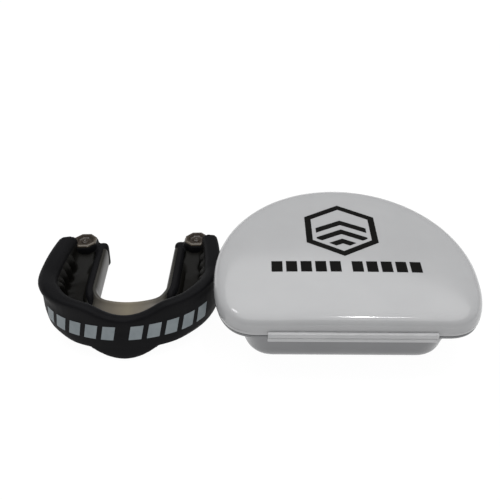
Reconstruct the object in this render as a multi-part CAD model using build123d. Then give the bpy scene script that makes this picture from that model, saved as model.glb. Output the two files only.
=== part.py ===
from build123d import *
from math import cos, degrees, radians, sin
import os

# Boil-and-bite mouthguard lying beside its hinged, D-shaped polypropylene case.
# Millimetres, +Z up. Origin: centre of the case's foot, on the table.
# +X runs along the straight hinge side, +Y towards the rounded back.

BIG = 120.0                 # helper blocks that only have to be large enough
MARGIN = 1.0                # how far a cutting block reaches past what it cuts

# ---- case, driving dimensions
LID_WIDTH = 89.0
LID_DEPTH = 71.4
CASE_HEIGHT = 28.0
STRAIGHT_HALF = 30.2        # half length of the straight hinge side
WIDEST_FROM_FRONT = 24.5    # where the D is widest, from the straight side
CORNER_TENSION = 0.68       # fullness of the two front corners
WALL = 1.5
LID_EDGE_RADIUS = 4.2
LID_INNER_RADIUS = 3.6
CROWN_RADIUS = 1200.0       # the lid top is very slightly domed
BODY_INSET = 6.7            # base body inside the lid outline, sides and back
BODY_INSET_FRONT = 6.8
BODY_DRAFT = 2.8            # how much narrower the foot is, sides and back
BODY_DRAFT_FRONT = 1.3
FOOT_STRAIGHT_HALF = 24.0   # the foot's front corners are rounder than the lid's
FOOT_RADIUS = 4.6
CAVITY_RADIUS = 4.0
FLANGE_BOTTOM = 19.7
FLANGE_TOP = 20.6
FLANGE_INSET = 0.3
LID_BOTTOM = 20.8
COLLAR_GAP = 0.3            # between the collar and the inside of the lid
COLLAR_THICK = 1.2
COLLAR_HEIGHT = 2.2
CATCH_HALF = 9.0            # half length of the snap ridge at the back
CATCH_PROUD = 0.15
CATCH_TALL = 0.8
CATCH_ROOT = 0.3            # how far the ridge reaches into the collar
GROOVE_HALF = 10.0
GROOVE_OPEN = 0.05          # the groove's cutter starts this far inside the lid
TAB_LENGTH = 18.0
TAB_REACH = 2.4
TAB_THICK = 1.4
TAB_CORNER = 1.9

# ---- living hinge
HINGE_LENGTH = 53.5
HINGE_PROUD = 1.15
LEAF_BOTTOM = 19.1
LEAF_TOP = 22.5
WEB_BOTTOM = 20.5
WEB_TOP = 20.9
WEB_THICK = 0.3
WEB_RECESS = 0.35           # the web lies at the bottom of the groove between the leaves
LEAF_CHAMFER = 0.3

# ---- printed marks on the lid
INK = 0.06
INK_BLOCK = 4.0             # height of the block that the ink film is cut from
BAR_COUNT = 5
BAR_WIDTH = 3.7
BAR_HEIGHT = 5.2
BAR_GAP = 1.2
BAR_GROUP_SHIFT = 13.5      # centre of each group of bars from the middle of the lid
BAR_Y = -10.8
EMBLEM_Y = 9.0
EMBLEM_RADIUS = 14.5
EMBLEM_STROKE = 2.6
EMBLEM_INSIDE = 4.2         # the chevrons keep this far inside the ring's outer edge
CHEVRON_COUNT = 3

# ---- mouthguard, in its own frame: bite plane flat, front at v = 0, arms towards +v
FRONT_RADIUS = 40.0
CORNER_RADIUS = 24.0
SIDE_RADIUS = 95.0
FRONT_SPREAD = 26.0         # degrees of the front arc, each side
SIDE_END = 102.6            # degrees at which the outer arc ends, behind the molars
TONGUE_APEX = 16.0
TONGUE_FRONT_RADIUS = 22.0
TONGUE_CORNER_RADIUS = 7.0
TONGUE_SPREAD = 20.0
REAR_FLARE = 0.6
TONGUE_REAR = 50.0          # the tongue side runs further back than the outer wall
SHELL_FLOOR = 4.0
BUCCAL_THICK = 3.8
LINGUAL_THICK = 2.6
RIM_HEIGHT = 17.2           # at the eye teeth
RIM_SLOPE = 3.6             # degrees by which the rim sinks from there to the rear
RIM_SLOPE_START = 8.0
RIM_DIP = 13.2              # rim height at the frenum notch
DIP_RADIUS = 20.0
LINGUAL_TOP = 9.5
GEL_FLOOR = 1.2
GEL_WALL = 1.4
GEL_TOP = 14.0
GEL_FRONT_TOP = 8.6
GEL_DIP = 10.6              # top of the gel behind the frenum notch
FIN_RADIUS = 1.1
FIN_COUNT = 4
FIN_FIRST = 0.1             # places of the fins, as shares of the side arc
FIN_STEP = 0.2
FIN_DROP = 1.0              # the fins end this far below the top of the lining
BOSS_RADIUS = 4.7
BOSS_U = 21.2
BOSS_V = 49.2
BOSS_TOP = 12.0
KEY_FLATS = 8.0
KEY_DEPTH = 3.0
KEY_PROUD = 0.2
KEY_RIM = 1.2
KEY_DISH = 0.8
KEY_BUTTON = 1.3
BUMPER_HALF = 11.9
BUMPER_BLOCK = 24.0
BUMPER_DROP = 4.6
BUMPER_DEPTH = 8.0
BUMPER_SET_BACK = 0.2
BUMPER_ROOT = 2.0           # how far the bumper reaches up into the floor
PRINT_LOW = 4.8
PRINT_HIGH = 10.6
PRINT_START = 4.6            # from the front middle to the first bar, round the arch
PRINT_PITCH = 6.0
PRINT_WIDTH = 4.2
PRINT_SLANT = 12.0
PRINT_BLOCK = 8.0

GUARD_TILT = 5.0            # it rests on its front bumper and its two rear ends
GUARD_YAW = -0.6
GUARD_REAR = (-73.8, 25.2)  # where the back of the two bosses rests on the table
REST_V = 53.55              # the same place in the mouthguard's own frame

FRONT_Y = -LID_DEPTH / 2
WIDEST_Y = FRONT_Y + WIDEST_FROM_FRONT
LEAF_FACE_Y = FRONT_Y - HINGE_PROUD


def plate(edges, z=0.0):
    return Pos(0, 0, z) * Face(Wire(edges))


def outline(inset, front_inset=None, z=0.0, straight_half=STRAIGHT_HALF):
    """The case's D outline, moved in by inset (front_inset on the straight side)."""
    front = FRONT_Y + (inset if front_inset is None else front_inset)
    half = LID_WIDTH / 2 - inset
    back = LID_DEPTH - WIDEST_FROM_FRONT - inset
    reach_x = CORNER_TENSION * (half - straight_half)
    reach_y = CORNER_TENSION * (WIDEST_Y - front)
    corners = [
        Bezier((side * straight_half, front), (side * (straight_half + reach_x), front),
               (side * half, WIDEST_Y - reach_y), (side * half, WIDEST_Y))
        for side in (-1, 1)
    ]
    straight = Line((-straight_half, front), (straight_half, front))
    bow = EllipticalCenterArc((0, WIDEST_Y), half, back, start_angle=0, arc_size=180)
    return plate([straight, corners[1], bow, corners[0]], z)


def dome(inset, top, edge_radius):
    """A crowned D block from the lid's lower edge up to top, with a rounded upper edge."""
    block = extrude(outline(inset, z=LID_BOTTOM), top + MARGIN - LID_BOTTOM)
    block &= Pos(0, 0, top - CROWN_RADIUS) * Sphere(CROWN_RADIUS)
    rim = block.faces().sort_by(Axis.Z)[-1].edges()
    return fillet(rim, edge_radius)


def catch_ring(outer, inner, z, height, half):
    """A short stretch of ring at the back of the case, between two outlines."""
    ring = extrude(outline(outer, z=z) - outline(inner, z=z), height)
    return ring & Pos(0, LID_DEPTH / 2, z) * Box(2 * half, LID_DEPTH / 2, 4 * height)


def case_lid():
    lid = dome(0, CASE_HEIGHT, LID_EDGE_RADIUS)
    lid -= dome(WALL, CASE_HEIGHT - WALL, LID_INNER_RADIUS)
    tab = Box(TAB_LENGTH, 2 * TAB_REACH, TAB_THICK, align=(Align.CENTER, Align.CENTER, Align.MIN))
    tab = fillet(tab.edges().filter_by(Axis.Z).group_by(Axis.Y)[-1], TAB_CORNER)
    lid += Pos(0, LID_DEPTH / 2, LID_BOTTOM) * tab - extrude(outline(WALL / 2, z=LID_BOTTOM), 2 * TAB_THICK)
    groove_z = FLANGE_TOP + COLLAR_HEIGHT / 2 - CATCH_TALL
    return lid - catch_ring(WALL - CATCH_PROUD, WALL + GROOVE_OPEN, groove_z, 2 * CATCH_TALL, GROOVE_HALF)


def case_base():
    foot = BODY_INSET + BODY_DRAFT
    foot_front = BODY_INSET_FRONT + BODY_DRAFT_FRONT
    body = loft([outline(foot, foot_front, 0, FOOT_STRAIGHT_HALF),
                 outline(BODY_INSET, BODY_INSET_FRONT, FLANGE_BOTTOM)], ruled=True)
    body = fillet(body.faces().sort_by(Axis.Z)[0].edges(), FOOT_RADIUS)
    body += extrude(outline(FLANGE_INSET, 0, FLANGE_BOTTOM), FLANGE_TOP - FLANGE_BOTTOM)
    outer = WALL + COLLAR_GAP
    collar = outline(outer, z=FLANGE_TOP) - outline(outer + COLLAR_THICK, z=FLANGE_TOP)
    body += extrude(collar, COLLAR_HEIGHT)
    ridge_z = FLANGE_TOP + (COLLAR_HEIGHT - CATCH_TALL) / 2
    body += catch_ring(outer - CATCH_PROUD, outer + CATCH_ROOT, ridge_z, CATCH_TALL, CATCH_HALF)
    cavity = loft([outline(foot + WALL, foot_front + WALL, WALL, FOOT_STRAIGHT_HALF),
                   outline(BODY_INSET + WALL, BODY_INSET_FRONT + WALL, FLANGE_TOP)], ruled=True)
    cavity = fillet(cavity.faces().sort_by(Axis.Z)[0].edges(), CAVITY_RADIUS)
    return body - cavity


def hinge_leaf(bottom, top, fold_side):
    """One half of the hinge strip; its edge beside the fold is chamfered on the outside."""
    leaf = Box(HINGE_LENGTH, HINGE_PROUD, top - bottom, align=(Align.CENTER, Align.MIN, Align.MIN))
    edges = leaf.edges().filter_by(Axis.X).group_by(Axis.Z)[fold_side].group_by(Axis.Y)[0]
    return Pos(0, LEAF_FACE_Y, bottom) * chamfer(edges, LEAF_CHAMFER)


def hinge_web():
    web = Box(HINGE_LENGTH, WEB_THICK, WEB_TOP - WEB_BOTTOM, align=(Align.CENTER, Align.MIN, Align.MIN))
    return Pos(0, LEAF_FACE_Y + WEB_RECESS, WEB_BOTTOM) * web


def ink_on_lid(shapes):
    """Flat shapes turned into an ink film that follows the lid's crown."""
    film = Sphere(CROWN_RADIUS + INK) - Sphere(CROWN_RADIUS)
    film = Pos(0, 0, CASE_HEIGHT - CROWN_RADIUS) * film
    return [extrude(shape, INK_BLOCK, dir=(0, 0, 1)) & film for shape in shapes]


def lid_bars():
    pitch = BAR_WIDTH + BAR_GAP
    places = [side * BAR_GROUP_SHIFT + (i - (BAR_COUNT - 1) / 2) * pitch
              for side in (-1, 1) for i in range(BAR_COUNT)]
    bar = Rectangle(BAR_WIDTH, BAR_HEIGHT)
    return Compound(ink_on_lid([Pos(x, BAR_Y, CASE_HEIGHT - INK_BLOCK / 2) * bar for x in places]))


def hexagon(inset):
    return RegularPolygon(EMBLEM_RADIUS - inset, 6, rotation=30)


def chevron():
    reach = EMBLEM_RADIUS
    low = -reach / 2
    top = Polyline((-reach, low), (0, 0), (reach, low))
    bottom = Polyline((reach, low - EMBLEM_STROKE), (0, -EMBLEM_STROKE), (-reach, low - EMBLEM_STROKE))
    ends = [Line(top @ 1, bottom @ 0), Line(bottom @ 1, top @ 0)]
    return plate(top.edges() + bottom.edges() + ends)


def lid_emblem():
    """A plain hexagonal badge: a ring round a stack of chevrons."""
    shapes = [hexagon(0) - hexagon(EMBLEM_STROKE)]
    for i in range(CHEVRON_COUNT):
        rise = (2 * i - CHEVRON_COUNT + 1) * EMBLEM_STROKE
        shapes.append(Pos(0, rise) * chevron() & hexagon(EMBLEM_INSIDE))
    films = ink_on_lid([Pos(0, EMBLEM_Y, CASE_HEIGHT - INK_BLOCK / 2) * shape for shape in shapes])
    return Compound(films)


def polar(centre, radius, angle):
    return (centre[0] + radius * sin(radians(angle)), centre[1] - radius * cos(radians(angle)))


def arc(centre, radius, start, end):
    return ThreePointArc(*(polar(centre, radius, a) for a in (start, (start + end) / 2, end)))


def right_arch(inset):
    """Right half of the outer arch, from the front middle to the rear end."""
    front = (0, FRONT_RADIUS)
    corner = polar(front, FRONT_RADIUS - CORNER_RADIUS, FRONT_SPREAD)
    side = polar(corner, CORNER_RADIUS - SIDE_RADIUS, 90)
    return [arc(front, FRONT_RADIUS - inset, 0, FRONT_SPREAD),
            arc(corner, CORNER_RADIUS - inset, FRONT_SPREAD, 90),
            arc(side, SIDE_RADIUS - inset, 90, SIDE_END)]


def right_tongue_side(outset):
    """Right half of the tongue-side edge, from the front middle to the rear end."""
    front = (0, TONGUE_APEX + TONGUE_FRONT_RADIUS)
    corner = polar(front, TONGUE_FRONT_RADIUS - TONGUE_CORNER_RADIUS, TONGUE_SPREAD)
    side = polar(corner, TONGUE_CORNER_RADIUS + outset, 90)
    return [arc(front, TONGUE_FRONT_RADIUS + outset, 0, TONGUE_SPREAD),
            arc(corner, TONGUE_CORNER_RADIUS + outset, TONGUE_SPREAD, 90),
            Line(side, (side[0] + REAR_FLARE, TONGUE_REAR))]


def arch_place(length):
    """The point and heading at this length round the outer arch, from the front middle."""
    front = (0, FRONT_RADIUS)
    turn = degrees(length / FRONT_RADIUS)
    if turn <= FRONT_SPREAD:
        return polar(front, FRONT_RADIUS, turn), turn
    corner = polar(front, FRONT_RADIUS - CORNER_RADIUS, FRONT_SPREAD)
    turn = FRONT_SPREAD + degrees((length - FRONT_RADIUS * radians(FRONT_SPREAD)) / CORNER_RADIUS)
    return polar(corner, CORNER_RADIUS, turn), turn


def strip_between(first, second, bottom, top):
    """A symmetrical U-shaped slab between two half curves."""
    left = [edge.mirror(Plane.YZ) for edge in first + second]
    ends = [Line(first[-1] @ 1, second[-1] @ 1)]
    ends.append(ends[0].mirror(Plane.YZ))
    return extrude(plate(first + second + left + ends, bottom), top - bottom, dir=(0, 0, 1))


def bosses(radius, bottom, top):
    post = Cylinder(radius, top - bottom, align=(Align.CENTER, Align.CENTER, Align.MIN))
    return [Pos(side * BOSS_U, BOSS_V, bottom) * post for side in (-1, 1)]


def octagon(inset):
    return RegularPolygon(KEY_FLATS / 2 - inset, 8, major_radius=False)


def guard_key(side):
    """Eight-sided gel key in the boss behind the last molar, dished with a centre button."""
    dish_floor = KEY_DEPTH + KEY_PROUD - KEY_DISH
    key = extrude(octagon(0), KEY_DEPTH + KEY_PROUD)
    key -= Pos(0, 0, dish_floor) * extrude(octagon(KEY_RIM), 2 * KEY_DISH)
    button = Cylinder(KEY_BUTTON, KEY_DISH / 2, align=(Align.CENTER, Align.CENTER, Align.MIN))
    key += Pos(0, 0, dish_floor) * button
    return Pos(side * BOSS_U, BOSS_V, BOSS_TOP - KEY_DEPTH) * key


def front_of_arch(depth, bottom, top):
    return Pos(0, 0, bottom) * Box(BIG, 2 * depth, top - bottom,
                                   align=(Align.CENTER, Align.CENTER, Align.MIN))


def guard_shell():
    arch = right_arch(0)
    floor = strip_between(arch, right_tongue_side(0), 0, SHELL_FLOOR)
    wall = strip_between(arch, right_arch(BUCCAL_THICK), 0, RIM_HEIGHT)
    notch = Cylinder(DIP_RADIUS, BIG, rotation=(90, 0, 0))
    above_rim = Box(BIG, BIG, BIG, align=(Align.CENTER, Align.MIN, Align.MIN))
    wall -= Pos(0, 0, RIM_DIP + DIP_RADIUS) * notch
    wall -= Pos(0, RIM_SLOPE_START, RIM_HEIGHT) * Rot(-RIM_SLOPE, 0, 0) * above_rim
    corner_v = TONGUE_APEX + TONGUE_CORNER_RADIUS
    tongue_wall = strip_between(right_tongue_side(0), right_tongue_side(LINGUAL_THICK),
                                SHELL_FLOOR, LINGUAL_TOP)
    tongue_wall -= front_of_arch(corner_v, SHELL_FLOOR, LINGUAL_TOP + MARGIN)
    hump_radius = (BUMPER_HALF ** 2 + BUMPER_DROP ** 2) / (2 * BUMPER_DROP)
    hump = Pos(0, 0, hump_radius - BUMPER_DROP) * Cylinder(hump_radius, BIG, rotation=(90, 0, 0))
    bumper = strip_between(right_arch(BUMPER_SET_BACK), right_arch(BUMPER_DEPTH),
                           -BUMPER_DROP - MARGIN, BUMPER_ROOT)
    bumper = bumper & hump & Box(BUMPER_BLOCK, BIG, BIG)
    shell = floor + wall
    shell = shell + tongue_wall
    shell = shell + bumper
    for boss in bosses(BOSS_RADIUS, 0, BOSS_TOP):
        shell += boss
    for side in (-1, 1):
        pocket = extrude(octagon(0), KEY_DEPTH + MARGIN)
        shell -= Pos(side * BOSS_U, BOSS_V, BOSS_TOP - KEY_DEPTH) * pocket
    return shell


def gel_liner():
    inner_wall = right_arch(BUCCAL_THICK)
    tongue = right_tongue_side(LINGUAL_THICK)
    floor = strip_between(inner_wall, tongue, SHELL_FLOOR, SHELL_FLOOR + GEL_FLOOR)
    wall = strip_between(inner_wall, right_arch(BUCCAL_THICK + GEL_WALL), SHELL_FLOOR, GEL_TOP)
    notch = Cylinder(DIP_RADIUS, BIG, rotation=(90, 0, 0))
    wall -= Pos(0, 0, GEL_DIP + DIP_RADIUS) * notch
    corner_v = TONGUE_APEX + TONGUE_CORNER_RADIUS
    lip = strip_between(right_tongue_side(0), tongue, SHELL_FLOOR, GEL_FRONT_TOP)
    lip &= front_of_arch(corner_v, SHELL_FLOOR, GEL_FRONT_TOP)
    liner = floor + wall + lip
    fin_path = right_arch(BUCCAL_THICK + GEL_WALL)[2]
    fin_height = GEL_TOP - SHELL_FLOOR - FIN_DROP
    fin = Cylinder(FIN_RADIUS, fin_height, align=(Align.CENTER, Align.CENTER, Align.MIN))
    for i in range(FIN_COUNT):
        place = fin_path @ (FIN_FIRST + FIN_STEP * i)
        for side in (-1, 1):
            liner += Pos(side * place.X, place.Y, SHELL_FLOOR) * fin
    for boss in bosses(BOSS_RADIUS, 0, RIM_HEIGHT):
        liner -= boss
    return liner


def guard_bars():
    """Two groups of slanted bars around the front of the mouthguard."""
    film = strip_between(right_arch(-INK), right_arch(0), PRINT_LOW, PRINT_HIGH)
    middle = (PRINT_LOW + PRINT_HIGH) / 2
    bars = []
    for side in (-1, 1):
        for i in range(BAR_COUNT):
            (u, v), heading = arch_place(PRINT_START + PRINT_PITCH * i)
            slab = Rot(0, PRINT_SLANT, 0) * Box(PRINT_WIDTH, PRINT_BLOCK, BIG)
            bars += (film & Pos(side * u, v, middle) * Rot(0, 0, side * heading) * slab).solids()
    return Compound(bars)


def on_table(shape):
    """Put a mouthguard piece where it lies: tilted on its bumper, beside the case."""
    placed = Pos(*GUARD_REAR, 0) * Rot(0, 0, GUARD_YAW) * Rot(-GUARD_TILT, 0, 0) * Pos(0, -REST_V, 0)
    return placed * shape


def above_table(shape):
    room = Box(BIG, BIG, BIG, align=(Align.CENTER, Align.CENTER, Align.MIN))
    return shape & Pos(GUARD_REAR[0], 0, 0) * room


PARTS = {
    "case_base": case_base(),
    "case_lid": case_lid(),
    "hinge_base_leaf": hinge_leaf(LEAF_BOTTOM, WEB_BOTTOM, -1),
    "hinge_lid_leaf": hinge_leaf(WEB_TOP, LEAF_TOP, 0),
    "hinge_web": hinge_web(),
    "lid_bar_print": lid_bars(),
    "lid_emblem_print": lid_emblem(),
    "guard_shell": above_table(on_table(guard_shell())),
    "gel_liner": on_table(gel_liner()),
    "left_gel_key": on_table(guard_key(-1)),
    "right_gel_key": on_table(guard_key(1)),
    "guard_bar_print": on_table(guard_bars()),
}

os.makedirs("parts", exist_ok=True)
for name, shape in PARTS.items():
    export_step(shape, f"parts/{name}.step")
    box = shape.bounding_box()
    print(name, len(shape.solids()), round(shape.volume, 1), box.min, box.max)
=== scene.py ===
# %% [markdown]
# # A boxing mouthguard and its hinged case
# The object is a soft black mouthguard, lined with smoky gel, lying beside the white
# D-shaped case that it is kept in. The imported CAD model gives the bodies, joints and sizes.
# It is made of flat facets, and its rubber has sharp edges. So this script rebuilds each piece
# but the prints on the lid with smooth surfaces, and gives every piece a real finish.

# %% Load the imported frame
from math import atan2, cos, degrees, exp, log1p, pi, radians, sin

import bmesh
import bpy
from mathutils import Matrix, Vector


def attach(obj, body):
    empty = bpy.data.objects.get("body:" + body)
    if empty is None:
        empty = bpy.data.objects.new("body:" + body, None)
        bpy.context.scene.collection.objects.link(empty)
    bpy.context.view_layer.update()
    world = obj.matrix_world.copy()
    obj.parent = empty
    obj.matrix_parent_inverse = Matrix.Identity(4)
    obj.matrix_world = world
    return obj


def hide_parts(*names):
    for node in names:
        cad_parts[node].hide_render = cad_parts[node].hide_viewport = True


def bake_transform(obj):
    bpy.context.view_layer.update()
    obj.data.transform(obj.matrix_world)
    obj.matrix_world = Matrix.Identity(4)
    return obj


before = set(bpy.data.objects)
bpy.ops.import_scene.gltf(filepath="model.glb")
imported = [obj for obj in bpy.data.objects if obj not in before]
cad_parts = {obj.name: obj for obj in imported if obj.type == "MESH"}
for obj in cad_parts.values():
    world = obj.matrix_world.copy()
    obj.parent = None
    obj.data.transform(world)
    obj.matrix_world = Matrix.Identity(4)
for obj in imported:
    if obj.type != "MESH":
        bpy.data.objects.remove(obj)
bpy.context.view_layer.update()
MM = 0.001
print("CAD nodes:", sorted(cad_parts))

# %% [markdown]
# ## Camera
# The camera stands in front of the gap between the two objects and looks down at 40 degrees,
# as a person at the table would. It could be aimed with a constraint, but a matrix made from
# the three angles says exactly how it is turned. A longish lens keeps the perspective gentle.

# %% Camera
CAMERA_PLACE = Vector((-34.6, -186.0, 181.8)) * MM
CAMERA_PITCH = radians(40.0)
CAMERA_YAW = radians(0.72)
CAMERA_ROLL = radians(0.88)
LENS = 50.3
SENSOR_WIDTH = 36.0
CLIP_START = 0.01


def add_camera():
    forward = Vector((sin(CAMERA_YAW) * cos(CAMERA_PITCH), cos(CAMERA_YAW) * cos(CAMERA_PITCH),
                      -sin(CAMERA_PITCH)))
    level = Vector((cos(CAMERA_YAW), -sin(CAMERA_YAW), 0))
    upright = level.cross(forward)
    right = level * cos(CAMERA_ROLL) + upright * sin(CAMERA_ROLL)
    up = -level * sin(CAMERA_ROLL) + upright * cos(CAMERA_ROLL)
    data = bpy.data.cameras.new("camera")
    data.lens = LENS
    data.sensor_width = SENSOR_WIDTH
    data.clip_start = CLIP_START
    camera = bpy.data.objects.new("camera", data)
    turn = Matrix((right, up, -forward)).transposed().to_4x4()
    camera.matrix_world = Matrix.Translation(CAMERA_PLACE) @ turn
    bpy.context.scene.collection.objects.link(camera)
    bpy.context.scene.camera = camera
    return camera


print("camera at", add_camera().matrix_world.translation)

# %% [markdown]
# ## Studio light
# A product table is lit from all round, so that the ground is white and shadows nearly vanish.
# Many lamps could do that, but a table that glows does it by itself. A large soft lamp
# overhead makes the tops bright and leaves the fronts darker. Small lamps draw thin highlights
# on the lid's rounded edge, which tell the eye that it is glossy.

# %% Floor, sky and lamps
FLOOR_HALF = 5.0
FLOOR_GREY = 0.05
FLOOR_GLOW = 0.97
FLOOR_ROUGHNESS = 0.9
FLOOR_SPECULAR = 0.1
SKY_STRENGTH = 0.3


def set_input(node, name, value):
    node.inputs[name].default_value = value


def add_floor():
    bpy.ops.object.select_all(action="DESELECT")
    bpy.ops.mesh.primitive_plane_add(size=2 * FLOOR_HALF)
    floor = bpy.context.object
    floor.name = "floor"
    material = bpy.data.materials.new("floor")
    material.use_nodes = True
    surface = material.node_tree.nodes["Principled BSDF"]
    set_input(surface, "Base Color", (FLOOR_GREY, FLOOR_GREY, FLOOR_GREY, 1))
    set_input(surface, "Emission Color", (1, 1, 1, 1))
    set_input(surface, "Emission Strength", FLOOR_GLOW)
    set_input(surface, "Roughness", FLOOR_ROUGHNESS)
    set_input(surface, "Specular IOR Level", FLOOR_SPECULAR)
    floor.data.materials.append(material)


def add_lamp(name, place, target, size, power):
    """A round lamp of this size in metres, turned towards target."""
    data = bpy.data.lights.new(name, "AREA")
    data.shape = "DISK"
    data.size = size
    data.energy = power
    lamp = bpy.data.objects.new(name, data)
    lamp.location = place
    aim = Vector(target) - Vector(place)
    lamp.rotation_euler = aim.to_track_quat("-Z", "Y").to_euler()
    bpy.context.scene.collection.objects.link(lamp)


def add_sky(strength):
    world = bpy.data.worlds.new("studio")
    world.use_nodes = True
    sky = world.node_tree.nodes["Background"]
    set_input(sky, "Color", (1, 1, 1, 1))
    set_input(sky, "Strength", strength)
    bpy.context.scene.world = world


add_floor()
add_sky(SKY_STRENGTH)
add_lamp("overhead", place=(0.0, 0.1, 0.9), target=(-0.03, 0, 0), size=1.6, power=9.6)
add_lamp("streak", place=(0.17, -0.08, 1.0), target=(0.0, -0.03, 0.03), size=0.04, power=1.3)
add_lamp("second_streak", place=(0.25, -0.1, 1.0), target=(0.02, -0.03, 0.03), size=0.05, power=0.14)
add_lamp("left_glint", place=(-0.47, 0.25, 0.85), target=(-0.04, -0.01, 0.03), size=0.16, power=0.6)
bpy.context.scene.view_settings.view_transform = "Standard"

# %% [markdown]
# ## A ring-by-ring way of modelling
# Both objects are walls that run round a curve. They could be sculpted, or cut from blocks,
# but a loft gives clean rows of faces that shade smoothly. It is laid up as by hand: a circle
# primitive takes the shape of the first section, and each extrusion of its edge is moved to
# the next section.


# %% Loft helper
MERGE_DISTANCE = 1e-6
SMOOTH_ANGLE = 35            # degrees; a sharper edge than this stays crisp


def select_only(piece):
    if bpy.context.mode != "OBJECT":
        bpy.ops.object.mode_set(mode="OBJECT")
    bpy.ops.object.select_all(action="DESELECT")
    piece.select_set(True)
    bpy.context.view_layer.objects.active = piece


def move_ring(piece, slots, ring):
    """Move the selected edge loop onto the points of ring; slots says which vertex is which."""
    mesh = bmesh.from_edit_mesh(piece.data)
    mesh.verts.ensure_lookup_table()
    for vertex in mesh.verts:
        if vertex.select:
            vertex.co = ring[slots[vertex.index]]
    bmesh.update_edit_mesh(piece.data)


def follow_slots(piece, slots):
    """After an extrusion, give each new vertex the slot of the old one that it came from."""
    mesh = bmesh.from_edit_mesh(piece.data)
    mesh.verts.ensure_lookup_table()
    mesh.verts.index_update()
    for vertex in mesh.verts:
        if vertex.select:
            old = next(e.other_vert(vertex) for e in vertex.link_edges
                       if not e.other_vert(vertex).select)
            slots[vertex.index] = slots[old.index]


def loft(name, rings):
    """A tube of faces through rings, each a list of as many points; its ends are open."""
    bpy.ops.object.select_all(action="DESELECT")
    bpy.ops.mesh.primitive_circle_add(vertices=len(rings[0]), fill_type="NOTHING")
    piece = bpy.context.object
    piece.name = name
    slots = {i: i for i in range(len(rings[0]))}
    bpy.ops.object.mode_set(mode="EDIT")
    bpy.ops.mesh.select_all(action="SELECT")
    for number, ring in enumerate(rings):
        if number:
            bpy.ops.mesh.extrude_edges_move()
            follow_slots(piece, slots)
        move_ring(piece, slots, ring)
    bpy.ops.object.mode_set(mode="OBJECT")
    return piece


def select_where(piece, test):
    """In edit mode, select the faces whose centre passes the test, and nothing else."""
    mesh = bmesh.from_edit_mesh(piece.data)
    for face in mesh.faces:
        face.select_set(bool(test(face)))
    for edge in mesh.edges:
        if not any(face.select for face in edge.link_faces):
            edge.select_set(False)
    mesh.select_flush(False)
    bmesh.update_edit_mesh(piece.data)


def close_mesh(piece):
    """Merge doubled points and turn every face outwards."""
    select_only(piece)
    bpy.ops.object.mode_set(mode="EDIT")
    bpy.ops.mesh.select_all(action="SELECT")
    bpy.ops.mesh.remove_doubles(threshold=MERGE_DISTANCE)
    bpy.ops.mesh.normals_make_consistent(inside=False)
    bpy.ops.object.mode_set(mode="OBJECT")


def apply_modifiers(piece):
    select_only(piece)
    for modifier in list(piece.modifiers):
        bpy.ops.object.modifier_apply(modifier=modifier.name)


def smooth(piece, angle=SMOOTH_ANGLE):
    select_only(piece)
    bpy.ops.object.shade_smooth_by_angle(angle=radians(angle))


def report(piece):
    print(piece.name, len(piece.data.polygons), "faces, size in mm",
          [round(v / MM, 1) for v in piece.dimensions])


# %% [markdown]
# ## The case's outline
# Seen from above the case is a D: a straight hinge side, two full front corners and half an
# ellipse at the back. A bevelled box would miss that curve, so the outline is worked out from
# its width and depth. Moving it in by a small inset gives every wall and step of both halves.

# %% D outline
LID_WIDTH = 89.0
LID_DEPTH = 71.4
STRAIGHT_HALF = 30.2
WIDEST_FROM_FRONT = 24.5
CORNER_TENSION = 0.68
STRAIGHT_STEPS = 24
CORNER_STEPS = 30
BACK_STEPS = 84
FRONT_Y = -LID_DEPTH / 2
WIDEST_Y = FRONT_Y + WIDEST_FROM_FRONT
CROWN_RADIUS = 1200.0
CASE_HEIGHT = 28.0


def bezier(points, t):
    weights = ((1 - t) ** 3, 3 * t * (1 - t) ** 2, 3 * t * t * (1 - t), t ** 3)
    return [sum(w * p[axis] for w, p in zip(weights, points)) for axis in (0, 1)]


def outline(inset, front_inset=None, straight_half=STRAIGHT_HALF):
    """Points in mm round the D, moved in by inset (front_inset on the straight side)."""
    front = FRONT_Y + (inset if front_inset is None else front_inset)
    half = LID_WIDTH / 2 - inset
    back = LID_DEPTH - WIDEST_FROM_FRONT - inset
    reach_x = CORNER_TENSION * (half - straight_half)
    reach_y = CORNER_TENSION * (WIDEST_Y - front)
    corner = [(straight_half, front), (straight_half + reach_x, front),
              (half, WIDEST_Y - reach_y), (half, WIDEST_Y)]
    points = [(straight_half * (2 * i / STRAIGHT_STEPS - 1), front) for i in range(STRAIGHT_STEPS)]
    points += [bezier(corner, i / CORNER_STEPS) for i in range(CORNER_STEPS)]
    points += [(half * cos(pi * i / BACK_STEPS), WIDEST_Y + back * sin(pi * i / BACK_STEPS))
               for i in range(BACK_STEPS)]
    left = [bezier(corner, 1 - i / CORNER_STEPS) for i in range(CORNER_STEPS)]
    return points + [(-x, y) for x, y in left]


def ring_at(inset, z, front_inset=None, straight_half=STRAIGHT_HALF):
    return [Vector((x, y, z)) * MM for x, y in outline(inset, front_inset, straight_half)]


def crown(x, y):
    return CASE_HEIGHT - (x * x + y * y) / (2 * CROWN_RADIUS)


def shrunk(points, share, height):
    """A ring shrunk towards the case's middle; height gives its z at each x and y, in mm."""
    middle_y = sum(p[1] for p in points) / len(points)
    moved = [(x * share, middle_y + (y - middle_y) * share) for x, y in points]
    return [Vector((x, y, height(x, y))) * MM for x, y in moved]


CENTRE_SHARES = (0.86, 0.7, 0.52, 0.34, 0.17, 0.05)
print("outline points:", len(outline(0)))

# %% [markdown]
# ## Lid
# The lid is a thin moulded shell: a short upright skirt, a soft rounded shoulder that flattens
# into a barely domed top, and the same shape again one wall thickness inside. A Bevel would
# make the shoulder a plain arc. Here it starts tight and dies away slowly, so its rings are
# listed, and highlights stay thin and long on it. A small lip at the back, extruded from the
# skirt, takes a thumb.

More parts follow.
